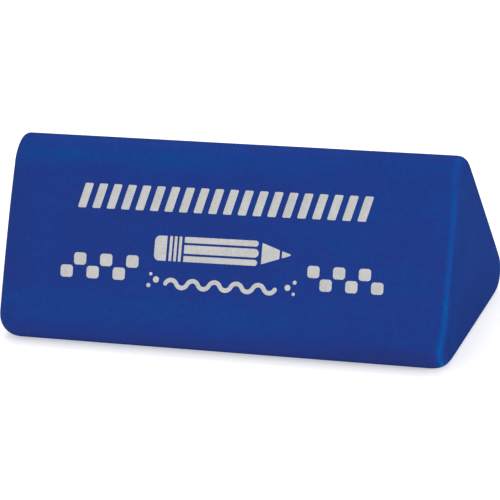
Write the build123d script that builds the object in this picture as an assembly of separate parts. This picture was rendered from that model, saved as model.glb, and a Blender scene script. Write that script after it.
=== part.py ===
from build123d import *
import os
from math import cos, sin, radians, sqrt

# Pencil eraser topper: a rounded triangular prism of soft vinyl that lies on one long face, with a blind
# pencil socket in one end and pale ink printed on the front sloping face.
# Millimetres. +X runs along the prism, +Z is up, the bottom face is on Z = 0. The socket opens towards -X,
# and the printed face looks towards -Y and up. The origin is under the middle of the block.

# ---- driving dimensions -------------------------------------------------------------------------------------
side = 22.0             # side of the triangular section before its edges are rounded
length = 43.5           # length of the prism
r_front = 1.5           # rounding of the lower front long edge
r_rear = 2.3            # rounding of the lower rear long edge
r_top = 2.3             # rounding of the top long edge
r_socket_end = 1.3      # rounding round the -X end face
r_plain_end = 0.65      # rounding round the +X end face

socket_d = 7.0          # bore for a round or six-sided pencil of about 7 mm
socket_wall = 15.0      # length of the straight wall of the bore
socket_lead = 0.5       # chamfer at the mouth of the bore

ink = 0.05              # thickness of the printed ink film
print_tilt = 0.6        # degrees that the whole print is turned on the face
print_u, print_v = 0.0, 10.0   # centre of the print: along the block, and up the slope from the sharp front edge

check_r = 0.30                 # corner radius of a printed square
check_v = -1.82                # height of both groups of squares, from the print's centre
left_lean, right_lean = -0.045, -0.030               # sideways run of each group over its height
left_u, left_w, left_h = -11.79, 1.225, 1.145        # left group: its centre along the block, and one square
left_pitch_u, left_pitch_v = 1.300, 1.190            # from square to square along the block, and from row to row
right_u, right_w, right_h = 12.05, 1.155, 1.100      # right group, a little smaller
right_pitch_u, right_pitch_v = 1.216, 1.160

bar_count = 20          # slanted bars in the upper band
bar_w = 0.82            # width of one bar
bar_pitch = 1.43        # distance from bar to bar
bar_h = 2.30            # height of the band
bar_slant = 0.62        # sideways run of a bar over its height
bar_u, bar_v = -0.15, 4.66     # centre of the band

fig_u, fig_v = 0.15, 0.15      # centre line of the pencil figure
fig_h = 2.30                   # its height
wave_v = -3.05                 # height of the wavy line
wave_n = 10                    # half waves
wave_half = 1.06               # length of one half wave
wave_sag = 0.34                # height of one half wave over its ends
wave_w = 0.42                  # width of the line

# ---- section and block --------------------------------------------------------------------------------------
height = side * sqrt(3) / 2
# the rounded lower edges draw in by different amounts, so the section is moved to stand centred on the origin
pull = sqrt(3) - 1
y_off = ((side / 2 - pull * r_front) - (side / 2 - pull * r_rear)) / 2

corners = [(-side / 2 + y_off, 0), (side / 2 + y_off, 0), (y_off, height)]
section = Plane.YZ * Polygon(*corners, align=None)
section = fillet(section.vertices().sort_by(Axis.Z)[-1], r_top)
section = fillet(section.vertices().filter_by_position(Axis.Z, -0.01, 0.01).sort_by(Axis.Y)[0], r_front)
section = fillet(section.vertices().filter_by_position(Axis.Z, -0.01, 0.01).sort_by(Axis.Y)[-1], r_rear)

block = extrude(section, amount=length / 2, both=True)
block = fillet(block.faces().sort_by(Axis.X)[0].edges(), r_socket_end)
block = fillet(block.faces().sort_by(Axis.X)[-1].edges(), r_plain_end)

# the socket runs along the middle of the triangle, with the same wall to all three long faces
socket_z = side / (2 * sqrt(3))
mouth = Plane(origin=(-length / 2, y_off, socket_z), x_dir=(0, 1, 0), z_dir=(1, 0, 0))
rs = socket_d / 2
with BuildPart(mouth) as hole:
    with BuildSketch(Plane(origin=mouth.origin, x_dir=(1, 0, 0), z_dir=(0, -1, 0))):
        Polygon((0, 0), (0, rs + socket_lead), (socket_lead, rs), (socket_lead + socket_wall, rs),
                (socket_lead + socket_wall, 0), align=None)
    revolve(axis=Axis(mouth.origin, (1, 0, 0)))
block = block - hole.part

# ---- print --------------------------------------------------------------------------------------------------
# the printed face's own plane: first direction along the block, second up the slope, normal outwards
slope = radians(60)
face_plane = Plane(origin=(0, -side / 2 + y_off, 0), x_dir=(1, 0, 0), z_dir=(0, -sin(slope), cos(slope)))
sheet = Plane(face_plane.location * Location((print_u, print_v, 0), (0, 0, print_tilt)))


def film(shapes):
    """Ink films of the given flat shapes, lying on the printed face."""
    return [extrude(sheet * s, amount=ink, dir=sheet.z_dir) for s in shapes]


def checks(u, first_row, w, h, pitch_u, pitch_v, lean):
    """Six rounded squares in two rows. first_row 1 starts in the lower row, -1 in the upper."""
    out = []
    for i in range(6):
        rise = (-1 if i % 2 == 0 else 1) * first_row * pitch_v / 2
        x, y = u + (i - 2.5) * pitch_u + lean * rise, check_v + rise
        s = lean * h / 2
        b = Polygon((x - w / 2 - s, y - h / 2), (x + w / 2 - s, y - h / 2),
                    (x + w / 2 + s, y + h / 2), (x - w / 2 + s, y + h / 2), align=None)
        out.append(fillet(b.vertices(), check_r))
    return out


def bars():
    out = []
    for i in range(bar_count):
        x = bar_u + (i - (bar_count - 1) / 2) * bar_pitch
        b = Polygon((x - bar_w / 2 - bar_slant / 2, bar_v - bar_h / 2), (x + bar_w / 2 - bar_slant / 2, bar_v - bar_h / 2),
                    (x + bar_w / 2 + bar_slant / 2, bar_v + bar_h / 2), (x - bar_w / 2 + bar_slant / 2, bar_v + bar_h / 2),
                    align=None)
        out.append(fillet(b.vertices(), 0.12))
    return out


def pencil():
    """A plain pencil lying level, its point to the right."""
    u, v, h = fig_u, fig_v, fig_h
    out = []
    # rounded rubber end, then three ring lines of the ferrule
    stub = Pos(u - 6.05, v) * Rectangle(1.2, h)
    out.append(fillet(stub.vertices().group_by(Axis.X)[0], 0.5))
    for i in range(3):
        out.append(Pos(u - 5.06 + 0.46 * i, v) * Rectangle(0.28, h))
    # three long flats of the barrel, each with a bowed cut at the sharpened end
    x0, x1 = u - 3.75, u + 3.15
    for lo, hi, bow in ((-h / 2, -0.60, 0.26), (-0.40, 0.40, 0.34), (0.60, h / 2, 0.26)):
        with BuildSketch() as flat:
            with BuildLine():
                Polyline((x1, v + hi), (x0, v + hi), (x0, v + lo), (x1, v + lo))
                ThreePointArc((x1, v + lo), (x1 + bow, v + (lo + hi) / 2), (x1, v + hi))
            make_face()
        out.append(flat.sketch)
    # sharpened cone and lead point
    out.append(Polygon((u + 3.78, v - 0.98), (u + 5.50, v - 0.40), (u + 5.50, v + 0.40), (u + 3.78, v + 0.98), align=None))
    out.append(Polygon((u + 5.72, v - 0.33), (u + 6.75, v), (u + 5.72, v + 0.33), align=None))
    return out


def wave():
    """A wavy line of equal bows with round ends."""
    c, s, w = wave_half, wave_sag, wave_w / 2
    rad = (c * c / 4 + s * s) / (2 * s)     # radius of the middle line of one bow
    dip = rad - s                           # from a bow's centre to its chord
    x0 = fig_u - wave_n * c / 2
    half = c / 2

    def at(i, radius, sign):
        # ends and top of bow i at the given radius, bowing up (1) or down (-1)
        cx = x0 + (i + 0.5) * c
        cy = wave_v - sign * dip
        k = radius / rad
        return ((cx - half * k, cy + sign * dip * k), (cx, cy + sign * radius), (cx + half * k, cy + sign * dip * k))

    with BuildSketch() as line:
        with BuildLine():
            over, under = [], []
            for i in range(wave_n):
                sign = 1 if i % 2 == 0 else -1
                over.append(at(i, rad + sign * w, sign))
                under.append(at(i, rad - sign * w, sign))
            for a, b, d in over:
                ThreePointArc(a, b, d)
            for a, b, d in under:
                ThreePointArc(a, b, d)
            # round caps: the line leaves its ends along the bow's tangent
            a, b = over[0][0], under[0][0]
            m = ((a[0] + b[0]) / 2, (a[1] + b[1]) / 2)
            t = (-dip / rad, -half / rad)
            ThreePointArc(a, (m[0] + t[0] * w, m[1] + t[1] * w), b)
            a, b = over[-1][2], under[-1][2]
            m = ((a[0] + b[0]) / 2, (a[1] + b[1]) / 2)
            sg = 1 if (wave_n - 1) % 2 == 0 else -1
            t = (dip / rad, -sg * half / rad)
            ThreePointArc(a, (m[0] + t[0] * w, m[1] + t[1] * w), b)
        make_face()
    return [line.sketch]


def crumbs():
    spots = [(-6.25, -2.75, 0.30), (-6.95, -3.30, 0.20), (-6.80, -2.25, 0.16),
             (6.50, -2.80, 0.28), (7.15, -2.30, 0.19), (7.10, -3.35, 0.16)]
    return [Pos(fig_u + x, y) * Circle(r) for x, y, r in spots]


nodes = {
    "eraser_block": [block],
    "print_checks_left": film(checks(left_u, 1, left_w, left_h, left_pitch_u, left_pitch_v, left_lean)),
    "print_checks_right": film(checks(right_u, -1, right_w, right_h, right_pitch_u, right_pitch_v, right_lean)),
    "print_stripes": film(bars()),
    "print_pencil_figure": film(pencil() + wave() + crumbs()),
}

os.makedirs("parts", exist_ok=True)
for name, shapes in nodes.items():
    solids = [s for shape in shapes for s in shape.solids()]
    body = solids[0] if len(solids) == 1 else Compound(children=solids)
    export_step(body, os.path.join("parts", name + ".step"))
    print(name, len(solids), round(sum(s.volume for s in solids), 3))
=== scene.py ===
import math

import bpy
import numpy as np
from mathutils import Matrix, Vector, noise
from mathutils.geometry import delaunay_2d_cdt


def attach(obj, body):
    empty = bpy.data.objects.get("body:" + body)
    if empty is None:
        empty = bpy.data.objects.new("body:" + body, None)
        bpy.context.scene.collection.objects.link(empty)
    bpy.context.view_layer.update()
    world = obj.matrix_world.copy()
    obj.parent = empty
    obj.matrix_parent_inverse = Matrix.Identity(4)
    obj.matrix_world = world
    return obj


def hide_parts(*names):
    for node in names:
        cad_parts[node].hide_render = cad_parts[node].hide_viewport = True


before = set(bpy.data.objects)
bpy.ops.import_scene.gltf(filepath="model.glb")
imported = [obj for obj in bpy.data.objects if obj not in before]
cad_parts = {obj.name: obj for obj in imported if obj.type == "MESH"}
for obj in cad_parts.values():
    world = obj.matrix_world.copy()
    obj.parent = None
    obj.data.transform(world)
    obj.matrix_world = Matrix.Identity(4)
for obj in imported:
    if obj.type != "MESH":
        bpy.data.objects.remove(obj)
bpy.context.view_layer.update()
MM = 0.001
SQ3 = math.sqrt(3.0)

# =============================================================================================================
# Shape of the block, in millimetres, in the same frame as the CAD
# =============================================================================================================
SIDE = 22.0                      # sharp side of the triangular section
LENGTH = 43.5
Y_OFF = (SQ3 - 1) * (2.3 - 1.5) / 2   # the section stands centred on the origin
CORNER_R = (1.516, 2.28, 2.327)  # long edges: lower front, lower rear, top
# each end: how far its flat outline is drawn in, the outline's own corner radii, and how far its rounding runs along the
# block, at the edges and at the three corners; then how wide each corner reaches, and what it is drawn in besides
FAR_IN, FAR_CORNER, FAR_EDGE, FAR_ALONG = 0.973, (0.80, 1.10, 1.40), 1.90, (2.198, 1.50, 0.926)
FAR_REACH, FAR_DRAW = (4.906, 3.0, 3.052), (0.572, 0.30, 1.69)
NEAR_IN, NEAR_CORNER, NEAR_EDGE, NEAR_ALONG = 0.671, (1.452, 1.540, 1.895), 0.543, (2.643, 1.463, 1.062)
NEAR_REACH, NEAR_DRAW = (0.517, 0.846, 1.173), (0.0, 0.0, 0.0)
SOCKET_R, SOCKET_WALL, SOCKET_LIP = 3.5, 15.0, 0.5
SOCKET_Z = SIDE / (2 * SQ3)

VERT = np.array([[-SIDE / 2 + Y_OFF, 0.0], [SIDE / 2 + Y_OFF, 0.0], [Y_OFF, SIDE * SQ3 / 2]])
SLOPE = np.array([0.5, SQ3 / 2])             # up the printed face, in (y, z)
FACE_N = np.array([-SQ3 / 2, 0.5])           # out of the printed face, in (y, z)


def ease(t):
    t = np.clip(t, 0.0, 1.0)
    return t * t * (3 - 2 * t)


def bump(x, at, width):
    return np.exp(-((x - at) / width) ** 2)


def wander(x, a, b, size, seed):
    """Slow, even unevenness of a moulded surface, between about -1 and 1."""
    return np.array([noise.noise(Vector((float(p) / size + seed, float(q) / size, float(r) / size - seed)))
                     for p, q, r in zip(np.ravel(x), np.ravel(a), np.ravel(b))]).reshape(np.shape(x))


N_ARC = 20                       # divisions of a rounded corner


def corner_arcs(corners, radii):
    """The three rounded corners of a triangle: points and outward normals of each."""
    arcs = []
    for i in range(3):
        p, q, o = corners[i], corners[(i + 1) % 3], corners[(i - 1) % 3]
        d1, d2 = (p - o) / np.linalg.norm(p - o), (q - p) / np.linalg.norm(q - p)
        n1, n2 = np.array([d1[1], -d1[0]]), np.array([d2[1], -d2[0]])
        c = p + (d2 - d1) / np.linalg.norm(d2 - d1) * radii[i] * 2
        a1, a2 = math.atan2(n1[1], n1[0]), math.atan2(n2[1], n2[0])
        if a2 < a1:
            a2 += 2 * math.pi
        t = np.linspace(a1, a2, N_ARC + 1)
        nn = np.stack([np.cos(t), np.sin(t)], 1)
        arcs.append((c + radii[i] * nn, nn))
    return arcs


def section(step=0.30):
    """The rounded triangle, counter-clockwise seen from +X, from the lower front edge. For each point: place, outward
    normal, the distance round the section from the middle of each corner, the face it is on (0 bottom, 1 rear, 2 printed,
    -1 a long edge), how far along that face's sharp side it is, and how far round its long edge, 0 to 1. Then the
    divisions of each flat."""
    arcs = corner_arcs(VERT, CORNER_R)
    half = [r * math.pi / 3 for r in CORNER_R]
    P, N, W, F, V, A, parts = [], [], [], [], [], [], []
    for i in range(3):
        pts, nor = arcs[i]
        for k in range(N_ARC + 1):
            w = [9 * SIDE] * 3
            w[i] = abs(2 * k / N_ARC - 1) * half[i]
            P.append(pts[k]); N.append(nor[k]); W.append(w); F.append(-1); V.append(0.0); A.append(k / N_ARC)
        a, b, nn = pts[-1], arcs[(i + 1) % 3][0][0], nor[-1]
        span = float(np.linalg.norm(b - a))
        m = int(round(span / step))
        parts.append(m)
        for t in np.arange(1, m) / m:
            w = [9 * SIDE] * 3
            w[i] = half[i] + t * span
            w[(i + 1) % 3] = half[(i + 1) % 3] + (1 - t) * span
            p = a + (b - a) * t
            P.append(p); N.append(nn); W.append(w); F.append(i); A.append(0.0)
            V.append(float(np.linalg.norm(p - VERT[i])))
    return np.array(P), np.array(N), np.array(W), np.array(F), np.array(V), np.array(A), parts


SEC_P, SEC_N, SEC_W, SEC_F, SEC_V, SEC_A, FLAT_PARTS = section()
N_AROUND = len(SEC_P)


def end_shape(drawn_in, corner, edge, along, reach, draw):
    """An end for every point of the section: how far its rounding runs along the block, and the place of the flat end's
    outline, which is the triangle drawn in, with corners of its own."""
    mid = VERT.mean(0)
    arcs = corner_arcs(mid + (VERT - mid) * (1 - 2 * drawn_in * SQ3 / SIDE), corner)
    pts = []
    for i in range(3):
        pts += list(arcs[i][0])
        a, b = arcs[i][0][-1], arcs[(i + 1) % 3][0][0]
        pts += [a + (b - a) * t for t in np.arange(1, FLAT_PARTS[i]) / FLAT_PARTS[i]]
    share = np.exp(-(np.hypot(SEC_W, 1.2) - 1.2) / np.array(reach))
    inwards = (mid - VERT) / np.linalg.norm(mid - VERT, axis=1)[:, None]
    return edge + share @ (np.array(along) - edge), np.array(pts) + (share * np.array(draw)) @ inwards


FAR_END = end_shape(FAR_IN, FAR_CORNER, FAR_EDGE, FAR_ALONG, FAR_REACH, FAR_DRAW)
NEAR_END = end_shape(NEAR_IN, NEAR_CORNER, NEAR_EDGE, NEAR_ALONG, NEAR_REACH, NEAR_DRAW)


def dish(v, x):
    """How far a long face has sunk in moulding, in mm: level over its middle, nothing at its edges."""
    return 0.045 * ease((np.minimum(v, SIDE - v) - 2.6) / 3.4) * ease((LENGTH / 2 - np.abs(x) - 1.2) / 4.0)


def face_height(v, x):
    """Height of the printed face over its flat plane, in mm: its sink, and a slow unevenness."""
    return -dish(v, x) + 0.012 * wander(x, np.full(np.shape(x), 40.0), v, 7.0, 3.7) * ease((np.minimum(v, SIDE - v) - 2.6) / 3.4)


def face_point(u, v, h):
    """A point h mm over the printed face: u along the block, v up the slope from the sharp lower front edge."""
    u, v = np.asarray(u, float), np.asarray(v, float)
    h = h + face_height(v, u)
    y = VERT[0][0] + SLOPE[0] * v + FACE_N[0] * h
    z = VERT[0][1] + SLOPE[1] * v + FACE_N[1] * h
    return np.stack([u, y, z], -1)


# =============================================================================================================
# Mesh of the block
# =============================================================================================================
def build_block():
    rings, painted_shadings, sheen_offsets, tags = [], [], [], []      # each ring: (N_AROUND, 3) points; painted shading; sheen offset; island
    p_v = np.where(SEC_F == 2, SIDE - SEC_V, SEC_V)  # on the printed face, measured up from its lower edge
    # height up the printed side for every point of the section, for shading that follows it
    up = np.clip((SEC_P - VERT[0]) @ SLOPE, 0, SIDE)
    up_rear = np.clip((SEC_P - VERT[1]) @ np.array([-0.5, SQ3 / 2]), 0, SIDE)
    across = np.clip(SEC_P[:, 0] - VERT[0][0], 0, SIDE)
    front = np.clip(SEC_N @ FACE_N, 0, 1)           # how much a point looks the printed face's way
    under = np.clip(-SEC_N[:, 1], 0, 1)
    rear = np.clip(SEC_N @ np.array([SQ3 / 2, 0.5]), 0, 1)

    def side_painted_shading(x):
        """Slow painted shading over the long sides: painted light in bands along each face, painted shade where they
        turn over and under.
        """
        t = np.zeros(N_AROUND)
        upper = 0.46 - 0.14 * ease((x + 9.0) / 8.0) - 0.20 * ease((x - 5.0) / 9.0)
        lower = 0.25 - 0.05 * ease((x + 12.0) / 10.0) - 0.14 * ease((x - 4.0) / 12.0)
        t += front ** 3 * (upper * bump(up, 18.35, 0.95) + lower * bump(up, 4.2, 1.5))
        # painted shading over the middle of the printed face, darker towards -X and a little brighter towards +X
        t += front ** 3 * (0.19 * ease((x + 3.0) / 15.0) - 0.10) * ease((up - 5.0) / 2.5) * ease((17.4 - up) / 2.5)
        # painted shade where the printed face turns over the top, more so towards +X
        t -= front * (0.10 + 0.22 * ease((x - 2.0) / 10.0)) * bump(up, 19.6, 0.5)
        # painted light in bands along the rear face and the underside
        t += rear ** 3 * (0.26 * bump(up_rear, 18.0, 1.4) + 0.20 * bump(up_rear, 4.5, 1.6))
        t += under ** 3 * (0.20 * bump(across, 17.5, 1.5) + 0.20 * bump(across, 4.5, 1.5))
        # painted shade along the lower front edge, where it turns under towards the floor, more so towards +X
        turn = np.clip((SEC_N @ np.array([-SQ3 / 2, -0.5])), 0, 1)
        low = SEC_P[:, 0] < 0
        t -= low * (0.30 * turn ** 6 + (0.16 + 0.44 * ease((x - 1.0) / 14.0)) * bump(up, 1.9, 0.62))
        return t

    # painted: less red where the top rounding turns upwards, to offset the white sheen it reflects
    top_turn = np.clip((SEC_N[:, 1] - 0.5) / 0.4, 0, 1)
    side_sheen_offset = 0.42 * ease(top_turn) * (SEC_N[:, 1] > 0.501)

    # --- side stations along X ---
    n_far, n_near = 12, 12
    x_lo, x_hi = -LENGTH / 2 + max(FAR_ALONG) + 0.25, LENGTH / 2 - max(NEAR_ALONG) - 0.25
    m = int(round((x_hi - x_lo) / 0.30))
    mids = np.linspace(x_lo, x_hi, m + 1)

    def lift_at(x):
        """How far the skin stands off the plain prism at the stations x, in mm."""
        lift = np.zeros(N_AROUND)
        pr = SEC_F == 2
        lift[pr] = face_height(p_v[pr], x[pr])
        other = (SEC_F >= 0) & ~pr
        lift[other] = -dish(p_v[other], x[other])
        un = wander(x, SEC_P[:, 0], SEC_P[:, 1], 9.0, 1.3)
        lift += 0.020 * un * np.sin(math.pi * SEC_A) ** 2 * (1 - under)
        lift += 0.012 * un * (SEC_F == 1) * ease((np.minimum(p_v, SIDE - p_v) - 2.6) / 3.4)
        return lift

    def side_ring(x):
        x = np.full(N_AROUND, x)
        return np.column_stack([x, SEC_P + SEC_N * lift_at(x)[:, None]])

    def end_ring(sign, shape, t):
        r, flat = shape
        start = sign * (LENGTH / 2 - r)
        skin = SEC_P + SEC_N * lift_at(start)[:, None]
        return np.column_stack([start + sign * r * math.sin(t), flat + (skin - flat) * math.cos(t)])

    turn_under = np.clip(SEC_N @ np.array([-SQ3 / 2, -0.5]), 0, 1) * (SEC_P[:, 0] < 0)
    edge_share = np.maximum(front ** 2, 0.95 * ease((turn_under - 0.5) / 0.3))
    edge_share = np.maximum(edge_share, 0.70 * ease((SEC_N[:, 1] - 0.55) / 0.35))
    # painted highlight on the +X edge: strongest at its foot, fading slowly up its height, weak just under the top
    edge_own = 0.70 + 0.20 * ease((13.5 - up) / 5.0) + 0.38 * ease((5.2 - up) / 2.6) + 0.95 * bump(up, 1.5, 0.9) - 0.40 * bump(up, 17.5, 1.0)
    edge_own = edge_own * (1 + 0.12 * wander(np.full(N_AROUND, 2.0), SEC_P[:, 0], SEC_P[:, 1], 1.6, 7.1)
                           + 0.16 * ease((up - 1.5) / 3.0) * wander(np.full(N_AROUND, 5.0), SEC_P[:, 0], SEC_P[:, 1], 0.62, 2.9))
    edge_depth = 0.20 + 0.27 * ease((5.0 - up) / 3.6) + 0.20 * ease((up - 14.5) / 3.5)      # mm in from the +X end
    edge_wide = 0.20 + 0.09 * ease((up - 16.5) / 2.0) + 0.08 * ease((4.0 - up) / 3.0)
    edge_at = np.degrees(np.arcsin(1 - edge_depth / NEAR_END[0]))
    edge_fall = 0.29 + 0.09 * ease((9.0 - up) / 4.0) - 0.04 * ease((3.6 - up) / 1.8) + 0.06 * ease((turn_under - 0.6) / 0.4) + 0.28 * ease((SEC_N[:, 1] - 0.55) / 0.35)      # mm round the edge
    edge_fall = np.degrees(edge_fall * 2 / (NEAR_END[0] + np.linalg.norm(SEC_P - NEAR_END[1], axis=1)))

    def near_edge_highlight(t):
        """Painted highlight along the sharp +X edge, most along the printed face and towards its foot, and a fainter
        one along its other edges.
        """
        d = math.degrees(t)
        off = np.where(d < edge_at, (NEAR_END[0] * (1 - math.sin(t)) - edge_depth) / edge_wide, (d - edge_at) / edge_fall)
        return (edge_share * edge_own + 0.30 * (1 - edge_share)) * np.exp(-off ** 2)

    def end_face_painted_shading(yz):
        """Painted shading of the +X end: painted shade, deeper towards its foot, and a little painted light along the
        printed face.
        """
        behind = -(yz - VERT[0]) @ FACE_N
        z = yz[:, 1]
        low = ease((6.5 - z) / 5.0)
        return (-0.15 - 0.34 * low * ease((behind - 1.5) / 3.0) - 0.12 * ease((z - 4.5) / 4.0) - 0.18 * ease((z - 10.0) / 5.0)
                + 0.12 * bump(behind, 0.0, 2.5) - 0.72 * ease((4.2 - z) / 2.6) * bump(behind, 0.9, 1.6))

    def end_face_sheen_offset(yz):
        """The +X end is painted a cooler blue, most along the printed face: less red to offset the white sheen it
        reflects, and to give the painted highlight its cyan.
        """
        behind = -(yz - VERT[0]) @ FACE_N
        return 0.72 + 0.26 * bump(behind, 1.6, 1.5) * ease((yz[:, 1] - 1.2) / 2.0)

    # -X end face, from the socket's bottom outwards
    ang = np.arctan2(SEC_P[:, 1] - SOCKET_Z, SEC_P[:, 0] - Y_OFF)
    cyz = np.stack([np.cos(ang), np.sin(ang)], 1)
    mid = np.array([Y_OFF, SOCKET_Z])
    x_end = -LENGTH / 2
    depth = SOCKET_LIP + SOCKET_WALL

    def socket_ring(r, d):
        return np.column_stack([np.full(N_AROUND, x_end + d), mid + cyz * r])

    corner = 0.7
    for r in np.linspace(0.10, 0.92, 9) * (SOCKET_R - 0.04 - corner):
        rings.append(socket_ring(r, depth + 0.03 * (1 - (r / 3.0) ** 2))); tags.append("floor")
    for t in np.linspace(0, math.pi / 2, 7):
        rings.append(socket_ring(SOCKET_R - 0.04 - corner + corner * math.sin(t), depth - corner + corner * math.cos(t))); tags.append("wall" if t > 0.3 else "floor")
    for d in np.linspace(depth - corner - 0.4, SOCKET_LIP, 34):
        rings.append(socket_ring(SOCKET_R - 0.04 * ease((d - 8) / 7), d)); tags.append("wall")
    for t in np.linspace(0, math.pi / 2, 9)[1:]:
        rings.append(socket_ring(SOCKET_R + SOCKET_LIP * (1 - math.cos(t)), SOCKET_LIP * (1 - math.sin(t)))); tags.append("wall" if t < 1.2 else "far")
    n_socket = len(rings)
    # painted shade inside the socket, a little darker
    painted_shadings += [np.full(N_AROUND, -0.10)] * n_socket
    sheen_offsets += [np.zeros(N_AROUND)] * n_socket
    outer = end_ring(-1, FAR_END, math.pi / 2)
    lip = rings[-1]
    for k in np.linspace(0, 1, 16)[1:-1]:
        ring = lip * (1 - k) + outer * k
        # the end is a little hollow between its edge and the socket
        ring[:, 0] += 0.03 * math.sin(math.pi * k)
        rings.append(ring); tags.append("far")
        painted_shadings.append(np.full(N_AROUND, -0.05))
        sheen_offsets.append(np.zeros(N_AROUND))
    for t in np.linspace(math.pi / 2, 0, n_far + 1):
        rings.append(end_ring(-1, FAR_END, t)); tags.append("side")
        # a paler band round the far end's edges, partly wear and partly painted highlight
        painted_shadings.append(side_painted_shading(-LENGTH / 2) * math.cos(t) + 0.12 * math.exp(-((math.degrees(t) - 45) / 28) ** 2))
        sheen_offsets.append(side_sheen_offset * math.cos(t))
    # bring every point to the first common station, then along the block
    for x in mids:
        rings.append(side_ring(x)); tags.append("side"); painted_shadings.append(side_painted_shading(x)); sheen_offsets.append(side_sheen_offset)
    for t in np.linspace(0, math.pi / 2, n_near + 1):
        rings.append(end_ring(1, NEAR_END, t)); tags.append("side" if t < 1.5 else "near")
        k = math.sin(t) ** 2
        painted_shadings.append(side_painted_shading(LENGTH / 2) * (1 - k) + end_face_painted_shading(rings[-1][:, 1:]) * k + near_edge_highlight(t))
        sheen_offsets.append(side_sheen_offset * (1 - k) + end_face_sheen_offset(rings[-1][:, 1:]) * k)
    inner = rings[-1]
    centre = np.array([LENGTH / 2, Y_OFF, SOCKET_Z])
    for k in np.linspace(0, 1, 26)[1:-1]:
        ring = inner * (1 - k) + centre * k
        ring[:, 0] -= 0.03 * ease(k / 0.5)
        rings.append(ring); tags.append("near")
        painted_shadings.append(end_face_painted_shading(ring[:, 1:]))
        sheen_offsets.append(end_face_sheen_offset(ring[:, 1:]))
    G = np.array(rings)
    n = len(rings)
    verts = G.reshape(-1, 3)
    painted_shading = np.concatenate(painted_shadings)
    first = G[0].mean(0)
    last = G[-1].mean(0)
    verts = np.vstack([verts, first, last])
    painted_shading = np.concatenate([painted_shading, [painted_shadings[0].mean(), painted_shadings[-1].mean()]])
    sheen_offset = np.concatenate(sheen_offsets + [[0.0, 0.72]])
    i_first, i_last = n * N_AROUND, n * N_AROUND + 1

    faces = []
    for a in range(n - 1):
        b0, b1 = a * N_AROUND, (a + 1) * N_AROUND
        for j in range(N_AROUND):
            k = (j + 1) % N_AROUND
            faces.append((b0 + j, b0 + k, b1 + k, b1 + j))
    fan = []
    for j in range(N_AROUND):
        k = (j + 1) % N_AROUND
        fan.append((i_first, k, j))
    b1 = (n - 1) * N_AROUND
    for j in range(N_AROUND):
        k = (j + 1) % N_AROUND
        fan.append((b1 + j, b1 + k, i_last))
    me = bpy.data.meshes.new("eraser_block_skin")
    me.from_pydata([tuple(p * MM) for p in verts], [], faces + fan)

    # --- one flat layout of the whole skin, in even scale, for baked maps ---
    S = 1 / 70.0
    around = np.concatenate([[0], np.cumsum(np.linalg.norm(np.diff(np.vstack([SEC_P, SEC_P[:1]]), axis=0), axis=1))])
    run = np.zeros(n)
    for a in range(1, n):
        run[a] = run[a - 1] + np.linalg.norm(G[a, N_AROUND // 3] - G[a - 1, N_AROUND // 3])
    first_side = tags.index("side")
    first_wall = tags.index("wall")
    uv = np.zeros((len(me.loops), 2))
    li = 0
    for f, poly in enumerate(faces + fan):
        tip = i_first if f >= len(faces) and f < len(faces) + N_AROUND else i_last
        kind = tags[f // N_AROUND] if f < len(faces) else ("floor" if tip == i_first else "near")
        nxt = tags[min(f // N_AROUND + 1, n - 1)] if f < len(faces) else kind
        if kind == "far" and nxt == "side":
            kind = "far"
        j = f % N_AROUND
        for c, vi in enumerate(poly):
            if kind == "side":
                a, jj = divmod(vi, N_AROUND)
                jj = jj if not (c in (1, 2) and jj == 0) else N_AROUND
                uv[li] = (0.01 + (run[a] - run[first_side]) * S, 0.02 + around[jj] * S)
            elif kind == "wall":
                a, jj = divmod(vi, N_AROUND)
                jj = jj if not (c in (1, 2) and jj == 0) else N_AROUND
                uv[li] = (0.72 + (run[a] - run[first_wall]) * S, 0.54 + around[jj] / around[-1] * 22.0 * S)
            else:
                y, z = verts[vi][1] - Y_OFF, verts[vi][2]
                ox, oy = {"near": (0.86, 0.02), "far": (0.86, 0.28), "floor": (0.78, 0.94)}[kind]
                z0 = SOCKET_Z if kind == "floor" else 0.0
                uv[li] = (ox + y * S, oy + (z - z0) * S)
            li += 1
    layer = me.uv_layers.new(name="OFBake")
    layer.data.foreach_set("uv", uv.astype(np.float32).ravel())
    for name, values in (("painted_shading", painted_shading), ("sheen_offset", sheen_offset)):
        at = me.attributes.new(name, "FLOAT", "POINT")
        at.data.foreach_set("value", values.astype(np.float32))
    me.polygons.foreach_set("use_smooth", [True] * len(me.polygons))
    me.update()
    me.validate()
    ob = bpy.data.objects.new("eraser_block_skin", me)
    bpy.context.scene.collection.objects.link(ob)
    return ob


# =============================================================================================================
# Printed ink: thin films with soft edges that follow the printed face
# =============================================================================================================
INK = 0.035                     # thickness
PRINT_U, PRINT_V, PRINT_TILT = 0.0, 10.0, math.radians(0.6)


def arc(cx, cy, r, a0, a1, n):
    t = np.radians(np.linspace(a0, a1, n))
    return [(cx + r * math.cos(x), cy + r * math.sin(x)) for x in t]


def round_polygon(pts, r, n=7):
    """A polygon, counter-clockwise, with rounded corners. r may be one radius or one for each corner."""
    pts = np.array(pts, float)
    rs = [r] * len(pts) if np.ndim(r) == 0 else r
    out = []
    for i, p in enumerate(pts):
        o, q = pts[i - 1], pts[(i + 1) % len(pts)]
        d1, d2 = (p - o) / np.linalg.norm(p - o), (q - p) / np.linalg.norm(q - p)
        turn = math.acos(max(-1.0, min(1.0, float(d1 @ d2))))
        if rs[i] <= 0 or turn < 1e-6:
            out.append(tuple(p))
            continue
        c = p + (d2 - d1) / np.linalg.norm(d2 - d1) * rs[i] / math.cos(turn / 2)
        n1 = np.array([d1[1], -d1[0]])
        a0 = math.degrees(math.atan2(n1[1], n1[0]))
        out += arc(c[0], c[1], rs[i], a0, a0 + math.degrees(turn), n)
    return out


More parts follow.
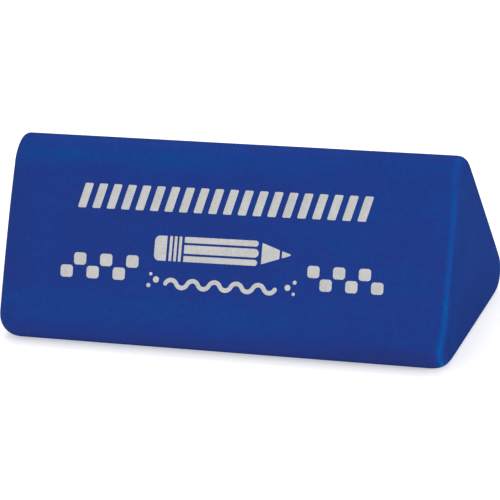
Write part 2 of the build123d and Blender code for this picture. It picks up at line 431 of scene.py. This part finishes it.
def even(loop, step):
    """A closed outline with its long runs divided."""
    out = []
    for i, p in enumerate(loop):
        q = loop[(i + 1) % len(loop)]
        m = max(1, int(math.ceil(math.dist(p, q) / step)))
        out += [(p[0] + (q[0] - p[0]) * k / m, p[1] + (q[1] - p[1]) * k / m) for k in range(m)]
    keep = [p for i, p in enumerate(out) if math.dist(p, out[i - 1]) > 1e-4]
    return keep


def film_mesh(name, outlines, edge=0.030, ragged=0.008):
    """One closed film for each outline, given in the print's own millimetres."""
    V, F = [], []
    ct, st = math.cos(PRINT_TILT), math.sin(PRINT_TILT)
    for number, loop in enumerate(outlines):
        loop = np.array(even(loop, 0.09))
        nxt, prv = np.roll(loop, -1, 0), np.roll(loop, 1, 0)
        d = nxt - prv
        d /= np.linalg.norm(d, axis=1)[:, None]
        out_n = np.stack([d[:, 1], -d[:, 0]], 1)
        # ink creeps a little unevenly at its edge
        rag = np.array([noise.noise(Vector((p[0] * 9.0, p[1] * 9.0, 5.0 + number))) +
                        0.6 * noise.noise(Vector((p[0] * 23.0, p[1] * 23.0, 9.0 + number))) for p in loop])
        loop = loop + out_n * (ragged * rag)[:, None]
        steps = [(0.0, 0.0), (0.10, 0.45), (0.45, 0.85), (1.0, 1.0)]      # inset, height, as parts of edge and INK
        n = len(loop)

        def lift(pq, h):
            u = PRINT_U + pq[:, 0] * ct - pq[:, 1] * st
            v = PRINT_V + pq[:, 0] * st + pq[:, 1] * ct
            return face_point(u, v, h)

        base = len(V)
        for inset, height in steps:
            V.extend(lift(loop - out_n * edge * inset, INK * height))
        for s in range(len(steps) - 1):
            for j in range(n):
                k = (j + 1) % n
                F.append((base + s * n + j, base + s * n + k, base + (s + 1) * n + k, base + (s + 1) * n + j))
        # inside: outline and an even scatter of points, so that the film follows the face
        for top in (True, False):
            rim = loop - out_n * edge if top else loop
            lo, hi = rim.min(0), rim.max(0)
            pts = [Vector(p) for p in rim]
            gap = 0.35
            for gx in np.arange(lo[0] + gap / 2, hi[0], gap):
                for gy in np.arange(lo[1] + gap / 2, hi[1], gap):
                    if np.min((rim[:, 0] - gx) ** 2 + (rim[:, 1] - gy) ** 2) > (0.4 * gap) ** 2:
                        pts.append(Vector((gx, gy)))
            vs, _, fs, origin, _, _ = delaunay_2d_cdt(pts, [], [list(range(n))], 1, 1e-7)
            place = {}
            extra = []
            for i, o in enumerate(origin):
                first = o[0] if o else -1
                if 0 <= first < n:
                    place[i] = base + ((len(steps) - 1) * n if top else 0) + first
                else:
                    place[i] = len(V) + len(extra)
                    extra.append((vs[i].x, vs[i].y))
            if extra:
                V.extend(lift(np.array(extra), INK if top else 0.0))
            for f in fs:
                a, b, c = (Vector(vs[i]) for i in f[:3])
                ccw = (b - a).cross(c - a) > 0
                ids = [place[i] for i in f]
                F.append(tuple(ids if ccw == top else reversed(ids)))
    used = sorted({i for f in F for i in f})
    new = {o: i for i, o in enumerate(used)}
    me = bpy.data.meshes.new(name)
    me.from_pydata([tuple(np.asarray(V[o]) * MM) for o in used], [], [tuple(new[i] for i in f) for f in F])
    me.polygons.foreach_set("use_smooth", [True] * len(me.polygons))
    me.update()
    me.validate()
    ob = bpy.data.objects.new(name, me)
    bpy.context.scene.collection.objects.link(ob)
    return ob


def check_squares(u, first_row, w, h, step, rows, lean):
    r = 0.30
    out = []
    for i in range(6):
        rise = (-1 if i % 2 == 0 else 1) * first_row * rows / 2
        x, y = u + (i - 2.5) * step + lean * rise, -1.82 + rise
        s = lean * h / 2
        out.append(round_polygon([(x - w / 2 - s, y - h / 2), (x + w / 2 - s, y - h / 2),
                                  (x + w / 2 + s, y + h / 2), (x - w / 2 + s, y + h / 2)], r))
    return out


def slanted_bars():
    out = []
    w, h, s = 0.82, 2.30, 0.62
    for i in range(20):
        x, y = -0.15 + (i - 9.5) * 1.43, 4.66
        out.append(round_polygon([(x - w / 2 - s / 2, y - h / 2), (x + w / 2 - s / 2, y - h / 2),
                                  (x + w / 2 + s / 2, y + h / 2), (x - w / 2 + s / 2, y + h / 2)], 0.12))
    return out


FIG_U, FIG_V, FIG_H = 0.15, 0.15, 2.30


def pencil_figure():
    u, v, h = FIG_U, FIG_V, FIG_H
    soft = 0.05
    out = [round_polygon([(u - 6.65, v - h / 2), (u - 5.45, v - h / 2), (u - 5.45, v + h / 2), (u - 6.65, v + h / 2)], [0.5, soft, soft, 0.5])]
    for i in range(3):
        x = u - 5.06 + 0.46 * i
        out.append(round_polygon([(x - 0.14, v - h / 2), (x + 0.14, v - h / 2), (x + 0.14, v + h / 2), (x - 0.14, v + h / 2)], soft))
    x0, x1 = u - 3.75, u + 3.15
    for lo, hi, bow in ((-h / 2, -0.60, 0.26), (-0.40, 0.40, 0.34), (0.60, h / 2, 0.26)):
        half, my = (hi - lo) / 2, v + (lo + hi) / 2
        r = (half * half + bow * bow) / (2 * bow)
        a = math.degrees(math.asin(min(1.0, half / r)))
        bowed = arc(x1 + bow - r, my, r, -a, a, 15)
        left = round_polygon([(x0, v + hi), (x0, v + lo), (x0 + 1, v + lo), (x0 + 1, v + hi)], [soft, soft, 0, 0])
        out.append(left[:-2] + bowed)
    out.append(round_polygon([(u + 3.78, v - 0.98), (u + 5.50, v - 0.40), (u + 5.50, v + 0.40), (u + 3.78, v + 0.98)], soft))
    out.append(round_polygon([(u + 5.72, v - 0.33), (u + 6.75, v), (u + 5.72, v + 0.33)], [soft, 0.08, soft]))
    return out


def wavy_line():
    c, s, w, n = 1.06, 0.34, 0.21, 10
    rad = (c * c / 4 + s * s) / (2 * s)
    dip = rad - s
    half = math.degrees(math.asin(c / 2 / rad))
    x0 = FIG_U - n * c / 2
    over, under = [], []
    for i in range(n):
        cx, up = x0 + (i + 0.5) * c, i % 2 == 0
        cy = -3.05 - (dip if up else -dip)
        for path, k in ((over, 1), (under, -1)):
            r = rad + (k * w if up else -k * w)
            path += arc(cx, cy, r, 90 + half, 90 - half, 9)[:-1] if up else arc(cx, cy, r, 270 - half, 270 + half, 9)[:-1]
    end = x0 + n * c
    # last point of both sides, then round caps
    up = (n - 1) % 2 == 0
    cx, cy = end - c / 2, -3.05 - (dip if up else -dip)
    a = (90 - half) if up else (270 + half)
    for path, k in ((over, 1), (under, -1)):
        r = rad + (k * w if up else -k * w)
        path += arc(cx, cy, r, a, a, 1)
    def cap(p, q):
        m = ((p[0] + q[0]) / 2, (p[1] + q[1]) / 2)
        t0 = math.degrees(math.atan2(p[1] - m[1], p[0] - m[0]))
        return arc(m[0], m[1], w, t0, t0 + 180, 9)[1:-1]
    loop = under + cap(under[-1], over[-1]) + over[::-1] + cap(over[0], under[0])
    return [loop]


def dots():
    spots = [(-6.25, -2.75, 0.30), (-6.95, -3.30, 0.20), (-6.80, -2.25, 0.16),
             (6.50, -2.80, 0.28), (7.15, -2.30, 0.19), (7.10, -3.35, 0.16)]
    return [arc(FIG_U + x, y, r, 0, 360, 29)[:-1] for x, y, r in spots]


# =============================================================================================================
# Materials
# =============================================================================================================
def new_material(name):
    m = bpy.data.materials.new(name)
    m.use_nodes = True
    nt = m.node_tree
    nt.nodes.clear()
    out = nt.nodes.new("ShaderNodeOutputMaterial")
    bsdf = nt.nodes.new("ShaderNodeBsdfPrincipled")
    nt.links.new(bsdf.outputs["BSDF"], out.inputs["Surface"])
    return m, nt, bsdf


def node(nt, kind, **settings):
    n = nt.nodes.new(kind)
    for k, v in settings.items():
        setattr(n, k, v)
    return n


def noise_tex(nt, vector, scale, detail=3.0, rough=0.55, stretch=None):
    if stretch is not None:
        mp = node(nt, "ShaderNodeMapping")
        mp.inputs["Scale"].default_value = stretch
        nt.links.new(vector, mp.inputs["Vector"])
        vector = mp.outputs["Vector"]
    t = node(nt, "ShaderNodeTexNoise")
    t.inputs["Scale"].default_value = scale
    t.inputs["Detail"].default_value = detail
    t.inputs["Roughness"].default_value = rough
    nt.links.new(vector, t.inputs["Vector"])
    return t.outputs["Fac"]


def math_node(nt, op, a, b):
    n = node(nt, "ShaderNodeMath", operation=op)
    for s, v in ((n.inputs[0], a), (n.inputs[1], b)):
        if isinstance(v, (int, float)):
            s.default_value = v
        else:
            nt.links.new(v, s)
    return n.outputs[0]


def spread(nt, fac, lo, hi):
    """A noise value, which keeps near 0.5, spread from lo to hi over 0.3 to 0.7."""
    n = node(nt, "ShaderNodeMapRange")
    n.inputs["From Min"].default_value = 0.3
    n.inputs["From Max"].default_value = 0.7
    n.inputs["To Min"].default_value = lo
    n.inputs["To Max"].default_value = hi
    nt.links.new(fac, n.inputs["Value"])
    return n.outputs["Result"]


def vinyl():
    m, nt, b = new_material("blue_vinyl")
    co = node(nt, "ShaderNodeTexCoord").outputs["Object"]
    painted_shading = node(nt, "ShaderNodeAttribute", attribute_name="painted_shading").outputs["Fac"]
    grain = noise_tex(nt, co, 2700.0, 2.0, 0.6)
    fleck = noise_tex(nt, co, 2300.0, 1.0, 0.5)
    clouds = noise_tex(nt, co, 260.0, 3.0, 0.5)
    streak = noise_tex(nt, co, 1.0, 3.0, 0.55, stretch=(130.0, 1150.0, 1150.0))
    t = math_node(nt, "ADD", painted_shading, spread(nt, grain, -0.26, 0.26))
    t = math_node(nt, "ADD", t, spread(nt, clouds, -0.12, 0.12))
    t = math_node(nt, "ADD", t, spread(nt, streak, -0.13, 0.13))
    fac = math_node(nt, "MULTIPLY_ADD", t, 0.4)
    fac.node.inputs[2].default_value = 0.4
    # painted shading to colour: painted shade below 0.4, the plain blue at 0.4, painted highlight at 0.8 and 1
    ramp = node(nt, "ShaderNodeValToRGB")
    e = ramp.color_ramp.elements
    e[0].position, e[0].color = 0.0, (0.0170, 0.0285, 0.1600, 1)
    e[1].position, e[1].color = 1.0, (0.0010, 0.0980, 0.3600, 1)
    mid = e.new(0.4)
    mid.color = (0.0135, 0.0370, 0.2180, 1)
    clear = e.new(0.8)
    clear.color = (0.0028, 0.0600, 0.2640, 1)
    nt.links.new(fac, ramp.inputs["Fac"])
    sheen_offset = node(nt, "ShaderNodeAttribute", attribute_name="sheen_offset").outputs["Fac"]
    # less red where it is painted to offset the white sheen, and the colour is a little patchy too: redder and cooler
    # flecks
    flecks_and_sheen_offset = math_node(nt, "MULTIPLY_ADD", math_node(nt, "ADD", sheen_offset, spread(nt, fleck, -0.22, 0.22)), 0.8)
    flecks_and_sheen_offset.node.inputs[2].default_value = 0.2
    less_red = node(nt, "ShaderNodeValToRGB")
    e = less_red.color_ramp.elements
    e[0].position, e[0].color = 0.0, (1.15, 1.0, 1.0, 1)
    e[1].position, e[1].color = 1.0, (0.40, 1.0, 1.0, 1)
    nt.links.new(flecks_and_sheen_offset, less_red.inputs["Fac"])
    tint = node(nt, "ShaderNodeMix", data_type="RGBA", blend_type="MULTIPLY")
    tint.inputs["Factor"].default_value = 1.0
    nt.links.new(ramp.outputs["Color"], tint.inputs["A"])
    nt.links.new(less_red.outputs["Color"], tint.inputs["B"])
    nt.links.new(tint.outputs["Result"], b.inputs["Base Color"])
    nt.links.new(spread(nt, clouds, 0.50, 0.60), b.inputs["Roughness"])
    b.inputs["Specular IOR Level"].default_value = 0.06
    b.inputs["Specular Tint"].default_value = (0.10, 0.55, 1.0, 1)
    bmp = node(nt, "ShaderNodeBump")
    bmp.inputs["Strength"].default_value = 0.35
    bmp.inputs["Distance"].default_value = 0.00003
    height = math_node(nt, "ADD", grain, math_node(nt, "MULTIPLY", streak, 0.8))
    nt.links.new(height, bmp.inputs["Height"])
    nt.links.new(bmp.outputs["Normal"], b.inputs["Normal"])
    return m


def ink():
    m, nt, b = new_material("grey_ink")
    co = node(nt, "ShaderNodeTexCoord").outputs["Object"]
    fine = noise_tex(nt, co, 4200.0, 2.0, 0.6)
    slow = noise_tex(nt, co, 700.0, 2.0, 0.5)
    t = math_node(nt, "ADD", spread(nt, fine, -0.5, 0.5), spread(nt, slow, -0.4, 0.4))
    fac = math_node(nt, "MULTIPLY_ADD", t, 0.5)
    fac.node.inputs[2].default_value = 0.5
    ramp = node(nt, "ShaderNodeValToRGB")
    e = ramp.color_ramp.elements
    e[0].position, e[0].color = 0.0, (0.430, 0.436, 0.440, 1)
    e[1].position, e[1].color = 1.0, (0.574, 0.572, 0.566, 1)
    nt.links.new(fac, ramp.inputs["Fac"])
    nt.links.new(ramp.outputs["Color"], b.inputs["Base Color"])
    nt.links.new(spread(nt, slow, 0.55, 0.68), b.inputs["Roughness"])
    b.inputs["Specular IOR Level"].default_value = 0.30
    bmp = node(nt, "ShaderNodeBump")
    bmp.inputs["Strength"].default_value = 0.3
    bmp.inputs["Distance"].default_value = 0.00002
    nt.links.new(fine, bmp.inputs["Height"])
    nt.links.new(bmp.outputs["Normal"], b.inputs["Normal"])
    return m


def floor_material():
    m, nt, b = new_material("pale_floor")
    b.inputs["Base Color"].default_value = (0.66, 0.66, 0.66, 1)
    b.inputs["Roughness"].default_value = 0.9
    b.inputs["Specular IOR Level"].default_value = 0.0
    b.inputs["Emission Color"].default_value = (1, 1, 1, 1)
    b.inputs["Emission Strength"].default_value = 0.46
    return m


# =============================================================================================================
# The object
# =============================================================================================================
MAT_VINYL, MAT_INK = vinyl(), ink()

block = build_block()
block.data.materials.append(MAT_VINYL)
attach(block, "root")
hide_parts("eraser_block")

for name, node_name, outlines in (
    ("checks_left_ink", "print_checks_left", check_squares(-11.79, 1, 1.225, 1.145, 1.300, 1.190, -0.045)),
    ("checks_right_ink", "print_checks_right", check_squares(12.05, -1, 1.155, 1.100, 1.216, 1.160, -0.030)),
    ("stripes_ink", "print_stripes", slanted_bars()),
    ("pencil_figure_ink", "print_pencil_figure", pencil_figure() + wavy_line() + dots()),
):
    piece = film_mesh(name, outlines)
    piece.data.materials.append(MAT_INK)
    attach(piece, "root")
    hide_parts(node_name)

# =============================================================================================================
# Floor, light and camera
# =============================================================================================================
fm = bpy.data.meshes.new("floor")
fm.from_pydata([(-3, -3, -0.00001), (3, -3, -0.00001), (3, 3, -0.00001), (-3, 3, -0.00001)], [], [(0, 1, 2, 3)])
floor = bpy.data.objects.new("floor", fm)
bpy.context.scene.collection.objects.link(floor)
floor.data.materials.append(floor_material())
floor.visible_glossy = False      # the floor's white would veil the steep end face

scene = bpy.context.scene
world = bpy.data.worlds.new("studio")
scene.world = world
world.use_nodes = True
bg = world.node_tree.nodes["Background"]
bg.inputs["Color"].default_value = (1, 1, 1, 1)
bg.inputs["Strength"].default_value = 0.90
world.cycles_visibility.glossy = False   # only the softboxes show in the satin surface


def area(name, place, aim, size, power, size_y=None):
    d = bpy.data.lights.new(name, "AREA")
    d.energy = power
    d.shape = "RECTANGLE" if size_y else "SQUARE"
    d.size = size
    if size_y:
        d.size_y = size_y
    o = bpy.data.objects.new(name, d)
    scene.collection.objects.link(o)
    o.location = place
    o.rotation_euler = (Vector(aim) - Vector(place)).to_track_quat("-Z", "Y").to_euler()
    return o


area("key_softbox", (0.47, -0.12, 0.20), (0, 0, 0.008), 0.22, 0.9, 0.30)
top = area("top_softbox", (-0.12, 0.26, 0.42), (0, 0, 0.008), 0.34, 1.1)
top.visible_glossy = False

# the camera stands as the photograph's does: right of the front, above, leaning a little
AZ, EL, ROLL = math.radians(22.198), math.radians(24.071), math.radians(-5.634)
DIST, TARGET = 297.999, Vector((0.4339, Y_OFF, 6.2634))
FOCAL_PX = 3221.2
back = Vector((math.sin(AZ) * math.cos(EL), -math.cos(AZ) * math.cos(EL), math.sin(EL)))
right = Vector((math.cos(AZ), math.sin(AZ), 0.0))
up = back.cross(right)
right, up = right * math.cos(ROLL) + up * math.sin(ROLL), up * math.cos(ROLL) - right * math.sin(ROLL)
pos = (TARGET + back * DIST) * MM
cam_data = bpy.data.cameras.new("camera")
cam_data.sensor_fit = "HORIZONTAL"
cam_data.sensor_width = 36.0
cam_data.lens = FOCAL_PX / 500.0 * 36.0
cam_data.clip_start, cam_data.clip_end = 0.01, 20.0
cam = bpy.data.objects.new("camera", cam_data)
scene.collection.objects.link(cam)
cam.matrix_world = Matrix(((right.x, up.x, back.x, pos.x), (right.y, up.y, back.y, pos.y), (right.z, up.z, back.z, pos.z), (0, 0, 0, 1)))
scene.camera = cam

scene.view_settings.view_transform = "Standard"
scene.view_settings.look = "None"
scene.view_settings.exposure = 0.0
scene.view_settings.gamma = 1.0
